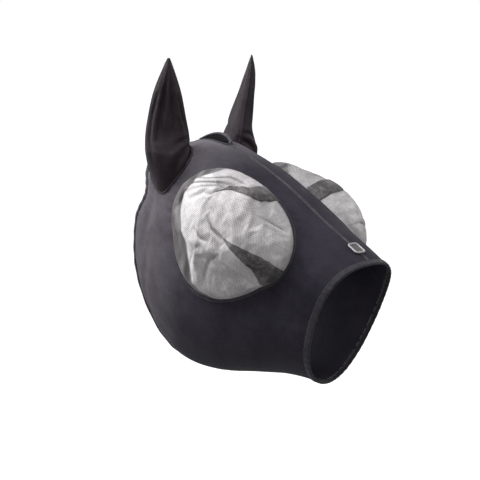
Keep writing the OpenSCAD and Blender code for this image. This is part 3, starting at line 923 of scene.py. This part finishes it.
def slackened(piece, rim):
    """Lets the net, held at its rim, take the small wrinkles of loose cloth."""
    held = piece.vertex_groups.new(name="rim")
    held.add(rim, 1.0, "REPLACE")
    cloth = piece.modifiers.new("cloth", "CLOTH")
    give = cloth.settings
    give.quality, give.mass, give.air_damping = 6, 0.02, 3
    give.tension_stiffness = give.compression_stiffness = 30
    give.shear_stiffness, give.bending_stiffness, give.bending_damping = 8, 3.0, 0.5
    give.tension_damping = give.compression_damping = give.shear_damping = 10
    give.vertex_group_mass = "rim"
    give.shrink_min = give.shrink_max = -SLACK
    give.use_pressure, give.uniform_pressure_force = True, 0.5
    give.effector_weights.gravity = 0.2
    cloth.collision_settings.use_collision = False
    cloth.point_cache.frame_start, cloth.point_cache.frame_end = 1, SLACK_FRAMES
    for step_number in range(1, SLACK_FRAMES + 1):
        bpy.context.scene.frame_set(step_number)
    before = np.array([v.co for v in piece.data.vertices])
    applied(piece)
    moved = np.array([v.co for v in piece.data.vertices]) - before
    size = np.linalg.norm(moved, axis=1, keepdims=True) / MM
    moved *= SLACK_SHARE * np.minimum(1, SLACK_CAP / np.maximum(size, 1e-6))
    piece.data.vertices.foreach_set("co", (before + moved).ravel())
    piece.vertex_groups.clear()
    bpy.context.scene.frame_set(1)


def resampled(path, count):
    path = np.asarray(path, float)
    run = path_length(path, False)
    s = np.linspace(0, run[-1], count)
    return np.stack([np.interp(s, run, path[:, 0]), np.interp(s, run, path[:, 1])], -1)


nets = {}
darts = {word: [] for word in SIDES}
for word, side in SIDES.items():
    columns, rows = ((110, 72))
    points, flat, uv = dome_grid(side, columns, rows)
    cloth = new_piece("window_net_" + word, [grid(points, uv)], net, HEAD_MIDDLE)
    place = cloth.data.attributes.new("flat", "FLOAT_VECTOR", "POINT")
    flat = np.pad(flat.reshape(-1, 2), ((0, 0), (0, 1)))
    place.data.foreach_set("vector", flat.astype(np.float32).ravel())
    rim = np.ones((columns, rows), bool)
    rim[2:-2, 2:-2] = False
    slackened(cloth, np.flatnonzero(rim).tolist())
    smoother = cloth.modifiers.new("smoother", "SUBSURF")
    smoother.levels = smoother.render_levels = 1
    applied(cloth)
    count = len(cloth.data.vertices)
    flat = np.empty(3 * count, np.float32)
    cloth.data.attributes["flat"].data.foreach_get("vector", flat)
    x, y, _ = flat.reshape(-1, 3).T
    # Painted shade on the net, kept in the layers attribute
    layers = net_doubling_and_shade(x, y, *from_middle(x, y), side)
    mark = cloth.data.attributes.new("layers", "FLOAT", "POINT")
    mark.data.foreach_set("value", layers.astype(np.float32))
    nets[word] = on_hood(cloth, "eye_mesh_" + word)
    surface = BVHTree.FromPolygons([v.co for v in cloth.data.vertices],
                                   [list(f.vertices) for f in cloth.data.polygons])
    for dart, (high, low) in DARTS.items():
        f = np.linspace(0, 1, 12)[None, :, None]
        flat = resampled(high, 60)[:, None] * (1 - f) + resampled(low, 60)[:, None] * f
        x, y = flat[..., 0], flat[..., 1]
        share, bearing = from_middle(x, y)
        at = dome_point(np.minimum(share, 1.0), bearing, side, 0 * x)
        laid = np.empty_like(at)
        for k in np.ndindex(x.shape):
            spot, normal, _, _ = surface.find_nearest(Vector(at[k] * MM))
            laid[k] = np.array(spot + normal * 0.0011) / MM
        # The dart flaps take the dark copy of the net finish, which is painted shade
        piece = new_piece(f"window_dart_{dart}_{word}", [grid(laid, flat)], painted_shade_dart_net, HEAD_MIDDLE)
        darts[word].append(on_hood(thickened(piece, 0.5)))

# ---- Ear sleeves ----

EAR_LEAN, EAR_FACING, EAR_H = math.radians(3), math.radians(45), 176.0
EAR_PIVOT = skin(EAR_T, EAR_A, 5.0)
EAR_UP = unit(np.array([-math.sin(EAR_LEAN), -math.sin(math.radians(4)), 1]))
SIDE_IN = unit(skin(EAR_T, EAR_A - 1) - skin(EAR_T, EAR_A + 1))
ALONG = unit(skin(EAR_T + 1, EAR_A) - skin(EAR_T - 1, EAR_A))
EAR_FACE = np.array([-math.sin(EAR_FACING), -math.cos(EAR_FACING), 0])
EAR_FACE = unit(EAR_FACE - EAR_UP * (EAR_FACE @ EAR_UP))
EAR_SIDE = np.cross(EAR_FACE, EAR_UP)
EAR_BOW = 2.5
# Height above the pivot, half width, half thickness, forward shift
EAR_RINGS = np.array([
    [-12, 36.5, 36.5, 0], [5, 37.5, 36.5, 1], [25, 37.5, 32, 2], [48, 36.2, 27, 4],
    [78, 31.5, 22, 6], [100, 27.5, 18, 8], [122, 22.4, 14, 10], [140, 16.6, 10.8, 11],
    [155, 11, 7.8, 12], [168, 5.6, 4.6, 12], [175, 3.0, 2.6, 12], [179, 1.3, 1.2, 12],
])
EAR_TOP = EAR_RINGS[-1, 0]


def eased(x, xs, ys):
    """Smooth curve through points."""
    slope = np.gradient(ys, xs)
    i = np.clip(np.searchsorted(xs, x) - 1, 0, len(xs) - 2)
    h = xs[i + 1] - xs[i]
    f = np.clip((x - xs[i]) / h, 0, 1)
    return ((2 * f**3 - 3 * f**2 + 1) * ys[i] + (f**3 - 2 * f**2 + f) * h * slope[i]
            + (-2 * f**3 + 3 * f**2) * ys[i + 1] + (f**3 - f**2) * h * slope[i + 1])


# Folds of the sleeve: a path of (round the sleeve from the middle of its open face, height), its
# width and depth
EAR_FOLDS = (
    ([(40, 34), (22, 22), (4, 4), (-10, -10)], 3.6, 4.6),
    ([(38, 44), (24, 42), (12, 36)], 3.2, 2.6),
    ([(-2, 158), (-5, 120), (-9, 78), (-12, 40)], 3.2, 3.0),
    ([(9, 140), (10, 104), (12, 58)], 3.2, 2.4),
    ([(-20, 120), (-24, 84), (-24, 40), (-20, 6)], 3.6, 2.8),
    ([(22, 116), (24, 90), (30, 56)], 3.0, 2.0),
    ([(58, 20), (80, 26), (110, 20)], 4, 1.8),
    ([(64, 40), (86, 60), (92, 96)], 4, 1.6),
    ([(118, 130), (122, 90), (116, 50)], 4, 1.4),
)


def ear_fold(h, phi):
    """Folds of the sleeve; phi is 90 at the middle of its open face."""
    x, y = (phi - 90) / 90 * 40, h
    lift = 0.7 * waves(x * 2, y * 0.5, 71, 34)
    return lift + sum(crease(x, y, path, width, depth, 0.5) for path, width, depth in EAR_FOLDS)


def ear_rows(heights, phis):
    """Points of the sleeve at these heights and these angles round it."""
    h, phi = np.meshgrid(heights, phis, indexing="ij")
    w, k, shift = (eased(h, EAR_RINGS[:, 0], EAR_RINGS[:, n]) for n in (1, 2, 3))
    p = np.radians(phi)
    hollow = np.clip(np.sin(p), 0, 1) ** 2 * smooth((h - 15) / 45) * smooth((165 - h) / 60)
    hollow = 1 - 0.30 * hollow
    fold = ear_fold(h, phi) * smooth((h + 12) / 18) * smooth((EAR_H - h) / 30)
    w, k = w + fold * 0.6, k * hollow + fold
    bow = EAR_BOW * np.sin(math.pi * np.clip(h / EAR_TOP, 0, 1))
    ring = (EAR_PIVOT + EAR_UP * h[..., None] + EAR_FACE * (shift + k * np.sin(p))[..., None]
            + EAR_SIDE * (bow + w * np.cos(p))[..., None])
    # The foot of the sleeve follows the opening in the hood
    way = EAR_SIDE * np.cos(p)[..., None] + EAR_FACE * np.sin(p)[..., None]
    bearing = np.degrees(np.arctan2(-(way @ SIDE_IN) / EAR_HALF_H, way @ ALONG / EAR_HALF_LEN))
    foot = on_head(*ear_seam(bearing, 0.6), 1.4 + 0 * bearing)
    f = smooth((h - heights[0]) / 34)[..., None]
    return foot + (ring - foot) * f


BLEND_START, BLEND_END = EAR_PIVOT - EAR_UP * 8, EAR_PIVOT + EAR_UP * 46
PHI_GAP = 2.5
heights = np.concatenate([np.linspace(-12, 30, 34)[:-1],
                          np.linspace(30, 160, 74)[:-1],
                          np.linspace(160, EAR_TOP, 12)])
sleeves = {}
for word, side in SIDES.items():
    flip = np.array([side, 1, 1])
    tip = EAR_PIVOT + EAR_UP * (EAR_TOP + 0.9) + EAR_FACE * EAR_RINGS[-1, 3]
    for half, start in (("front", 0), ("back", 180)):
        phis = np.linspace(start, start + 180, int(180 / PHI_GAP) + 1)
        uv = np.stack(np.broadcast_arrays((phis / 90 * 36)[None, :], heights[:, None]), -1)
        cloth = grid(ear_rows(heights, phis) * flip, uv, pole=tip * flip)
        sleeve = new_piece(f"ear_{half}_cloth_{word}", [cloth], ear_cloth, EAR_PIVOT * flip,
                           axis=EAR_UP * flip)
        sleeves[word, half] = thickened(sleeve, FABRIC_T)
        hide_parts(f"ear_{half}_{word}")

# Seam ridges up both edges of each sleeve and over its tip, and the seam round its foot
edge_heights = np.linspace(-10, EAR_TOP, 150)
edge_count = len(edge_heights)
for word, side in SIDES.items():
    flip = np.array([side, 1, 1])
    edges = [ear_rows(edge_heights, np.array([p]))[:, 0] for p in (0, 180)]
    line = np.vstack([edges[0], edges[1][::-1]]) * flip
    middle = (EAR_PIVOT + EAR_UP * np.concatenate([edge_heights, edge_heights[::-1]])[:, None]
              + EAR_FACE * 6) * flip
    tangent = path_tangent(line, False)
    out = unit(line - middle)
    out = unit(out - tangent * (out * tangent).sum(-1, keepdims=True))
    seam = new_piece("ear_side_seam_" + word,
                     [swept(line, out, tape_profile(2.6, -1.4, 0.7, 0.5), False)], ear_cloth)
    sleeves[word, "seam"] = seam
    lean_in = unit(np.cross(tangent, out))
    for shift in (2.6, -2.6):
        for part in (slice(6, edge_count - 6), slice(edge_count + 6, -6)):
            stitch_line("ear_" + word, (line - out * 0.5 + lean_in * shift)[part],
                        lean_in[part] * np.sign(shift))
    t, a = ear_seam(turn(360), 0.4)
    t, a = even(t, side * a)
    foot_seam = band("ear_foot_seam_" + word, t, a, tape_profile(4.6, -0.2, 2.7, 0.7),
                     binding_cloth, True)
    on_hood(foot_seam, "ear_base_" + word)
    seam_stitches(t, a, 1.0, 3.5)

# ---- Trim ----

PATCH_MID = FACE_LEN - 42.0
PATCH_TURN = np.radians(turn(96))
PATCH_CORNER = (np.abs(np.cos(PATCH_TURN)) ** 5 + np.abs(np.sin(PATCH_TURN)) ** 5) ** -0.2
# Section of the pad from the middle of its underside to the middle of its top: share, lift
PAD_SECTION = ((0.2, 2.6), (0.6, 2.6), (1.0, 2.6), (1.03, 3.12), (1.0, 3.8), (0.95, 3.9),
               (0.9, 3.65), (0.55, 3.7), (0.2, 3.7))


def patch_outline(half_t, half_x):
    """A path with rounded corners round the middle of the patch."""
    t = PATCH_MID + PATCH_CORNER * half_t * np.cos(PATCH_TURN)
    return t, ridge_a(t, PATCH_CORNER * half_x * np.sin(PATCH_TURN))


rows = np.stack([on_head(*patch_outline(12.6 * share, 11.6 * share), lift)
                 for share, lift in PAD_SECTION])
uv = np.stack([rows[..., 1], rows[..., 0]], -1)
uv = np.concatenate([uv, uv[:, :1]], 1)
pad = [grid(rows, uv, around=True, pole=rows[-1].mean(0)),
       grid(rows[:2][::-1], uv[:2][::-1], around=True, pole=rows[0].mean(0))]
on_hood(new_piece("nose_patch_pad", pad, patch_finish, merge=0.01), "nose_patch")

# A pale overlocked edge round the plain patch
edging = band("nose_patch_edging", *patch_outline(11.7, 10.7), tape_profile(2.6, -0.6, 1.1, 0.6),
              edge_finish, True, 3.5)
on_hood(edging)

label_ts = neck_t(180) + NECK_HEM_W + np.linspace(4, 42, 24)
label_xs = np.linspace(-15, 15, 20)
lt, lx = np.meshgrid(label_ts, label_xs, indexing="ij")
curl = -4.9 - 0.5 * np.sin((lt - label_ts[0]) / 12) + 0.35 * np.cos(lx / 6)
label_rows = on_head(lt, 180 - ridge_a(lt, lx), curl)
label = new_piece("blank_care_label", [grid(label_rows, np.stack([lx, lt], -1))], label_finish,
                  HEAD_MIDDLE)
on_hood(thickened(label, 0.35, 0.0), "care_label")

# Bar tacks at both ends of the slit: dense thread over a low pad
for t0 in (SLIT_REAR - 4.5, SLIT_FRONT - 0.5):
    for k, t_bar in enumerate(np.linspace(t0, t0 + 5, 6)):
        x = np.linspace(-6.5, 6.5, 15)
        t, a = t_bar + 0.3 * np.sin(x * 2 + k), ridge_a(t_bar, x)
        arch = 2.3 + 0.7 * (1 - (x / 7) ** 2)
        stitch_line("hood", on_head(t, a, arch), head_normal(t, a))

# ---- Stitches ----


def stitch_tree():
    """Threads laid end to end along marked lines, each a little different."""
    tree = bpy.data.node_groups.new("stitches", "GeometryNodeTree")
    face = tree.interface
    face.new_socket("Lines", in_out="INPUT", socket_type="NodeSocketGeometry")
    for name, kind, value in (("Pitch", "NodeSocketFloat", 0.0032),
                              ("Stitch length", "NodeSocketFloat", 0.0026),
                              ("Thread width", "NodeSocketFloat", 0.0008),
                              ("Slant", "NodeSocketFloat", 0.25),
                              ("Seed", "NodeSocketInt", 4),
                              ("Thread", "NodeSocketMaterial", None)):
        socket = face.new_socket(name, in_out="INPUT", socket_type=kind)
        if value is not None:
            socket.default_value = value
    face.new_socket("Stitches", in_out="OUTPUT", socket_type="NodeSocketGeometry")

    def add(kind, settings=None, sockets=None):
        return new_node(tree, kind, settings, sockets)

    given = add("NodeGroupInput").outputs
    curve = add("GeometryNodeMeshToCurve", sockets={"Mesh": given["Lines"]})
    even_curve = add("GeometryNodeResampleCurve", {"mode": "LENGTH"},
                     {"Curve": curve.outputs[0], "Length": given["Pitch"]})
    out = add("GeometryNodeInputNamedAttribute", {"data_type": "FLOAT_VECTOR"}, {"Name": "out"})
    lay = add("FunctionNodeAlignRotationToVector", {"axis": "X"},
              {"Vector": add("GeometryNodeInputTangent").outputs[0]})
    stand = add("FunctionNodeAlignRotationToVector", {"axis": "Z", "pivot_axis": "X"},
                {"Rotation": lay.outputs[0], "Vector": out.outputs[0]})
    wobble = add("FunctionNodeRandomValue", {"data_type": "FLOAT"},
                 {2: -0.12, 3: 0.12, "Seed": given["Seed"]})
    slant = add("ShaderNodeMath", {"operation": "ADD"}, {0: given["Slant"], 1: wobble.outputs[1]})
    spin = add("FunctionNodeAxisAngleToRotation",
               sockets={"Axis": (0, 0, 1), "Angle": slant.outputs[0]})
    turn = add("FunctionNodeRotateRotation", {"rotation_space": "LOCAL"},
               {"Rotation": stand.outputs[0], "Rotate By": spin.outputs[0]})
    ball = add("GeometryNodeMeshUVSphere", sockets={"Segments": 6, "Rings": 4, "Radius": 0.5})
    size = add("ShaderNodeCombineXYZ",
               sockets={n: given["Thread width" if n else "Stitch length"] for n in range(3)})
    thread = add("GeometryNodeTransform",
                 sockets={"Geometry": ball.outputs[0], "Scale": size.outputs[0]})
    vary = add("FunctionNodeRandomValue", {"data_type": "FLOAT"},
               {2: 0.88, 3: 1.1, "Seed": given["Seed"]})
    laid = add("GeometryNodeInstanceOnPoints", sockets={
        "Points": even_curve.outputs[0], "Instance": thread.outputs[0], "Rotation": turn.outputs[0],
        "Scale": vary.outputs[1]})
    real = add("GeometryNodeRealizeInstances", sockets={0: laid.outputs[0]})
    soft = add("GeometryNodeSetShadeSmooth", sockets={0: real.outputs[0]})
    done = add("GeometryNodeSetMaterial", sockets={0: soft.outputs[0], "Material": given["Thread"]})
    tree.links.new(done.outputs[0], add("NodeGroupOutput").inputs[0])
    return tree


def sewn(name, lines):
    """All the stitches of one body as one plain mesh."""
    edges, base = [], 0
    for points, _ in lines:
        edges += [(base + i, base + i + 1) for i in range(len(points) - 1)]
        base += len(points)
    mesh = bpy.data.meshes.new(name)
    mesh.from_pydata((np.vstack([points for points, _ in lines]) * MM).tolist(), edges, [])
    mark = mesh.attributes.new("out", "FLOAT_VECTOR", "POINT")
    mark.data.foreach_set("vector", np.vstack([out for _, out in lines]).astype(np.float32).ravel())
    piece = placed(name, mesh)
    work = piece.modifiers.new("stitches", "NODES")
    work.node_group = stitches
    sockets = {s.name: s.identifier for s in stitches.interface.items_tree if s.in_out == "INPUT"}
    work[sockets["Thread"]] = thread_finish
    applied(piece)
    layers = piece.data.uv_layers
    (layers[0] if layers else layers.new()).name = UV_NAME
    return piece


stitches = stitch_tree()
on_hood(sewn("hood_stitches", seam_lines["hood"]), "forelock_bar_tacks")
for word in SIDES:
    sleeves[word, "stitches"] = sewn("ear_stitches_" + word, seam_lines["ear_" + word])

# ---- The ear sleeves' transforms baked into their meshes ----

for (word, _), sleeve in sleeves.items():
    flip = np.array([SIDES[word], 1, 1])
    "ear_" + word
    tuple(BLEND_START * flip * MM)
    tuple(BLEND_END * flip * MM)
    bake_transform(sleeve)

for word in SIDES:
    for piece, flat, area, under, sewn_on in (
            (hoods[word], (0.40, 0.44), 0.114, "window_seam_", []),
            (nets[word], (0.31, 0.24), 0.055, "window_seam_", darts[word]),
            (sleeves[word, "front"], (0.125, 0.19), 0.0145, "ear_foot_seam_", []),
            (sleeves[word, "back"], (0.125, 0.19), 0.0145, "ear_foot_seam_", [])):
        under + word

# ---- Floor and light ----

bpy.context.scene.view_settings.view_transform = "Standard"


def white_to_the_eye(tree, soft):
    """Strength that lights the object softly and is plain white where it is seen."""
    eye = new_node(tree, "ShaderNodeLightPath").outputs["Is Camera Ray"]
    strength = new_node(tree, "ShaderNodeMapRange",
                        sockets={"Value": eye, "To Min": soft, "To Max": 1.0})
    return strength.outputs[0]


FLOOR_HALF, FLOOR_Z = 14, -0.95
floor_mesh = bpy.data.meshes.new("floor")
floor_mesh.from_pydata([(x * FLOOR_HALF, y * FLOOR_HALF, FLOOR_Z)
                        for x, y in ((-1, -1), (1, -1), (1, 1), (-1, 1))], [], [(0, 1, 2, 3)])
floor = placed("floor", floor_mesh)
floor_finish = Finish("pale floor")
floor_finish.set(base_color=(0.25, 0.25, 0.25, 1), roughness=0.9, emission_color=(1, 1, 1, 1),
                 emission_strength=white_to_the_eye(floor_finish.tree, 0.0))
floor_mesh.materials.append(floor_finish.material)

world = bpy.data.worlds.new("soft room")
bpy.context.scene.world = world
world.use_nodes = True
backdrop = world.node_tree.nodes["Background"].inputs
feed(world.node_tree, backdrop["Color"], (1, 1, 1, 1))
feed(world.node_tree, backdrop["Strength"], white_to_the_eye(world.node_tree, 0.36))

for name, azimuth, elevation, distance, size, power in (
        ("key", -146, 40, 2200, 1.4, 70),
        ("top", -90, 74, 2200, 1.4, 34),
        ("front", 52, 22, 2600, 1.8, 18),
        ("side", -58, 14, 2600, 1.8, 15)):
    light = bpy.data.lights.new(name, "AREA")
    light.shape, light.size, light.energy = "DISK", size, power
    lamp = placed(name, light)
    lamp.location = from_aim(azimuth, elevation, distance)
    turned_to_aim(lamp)
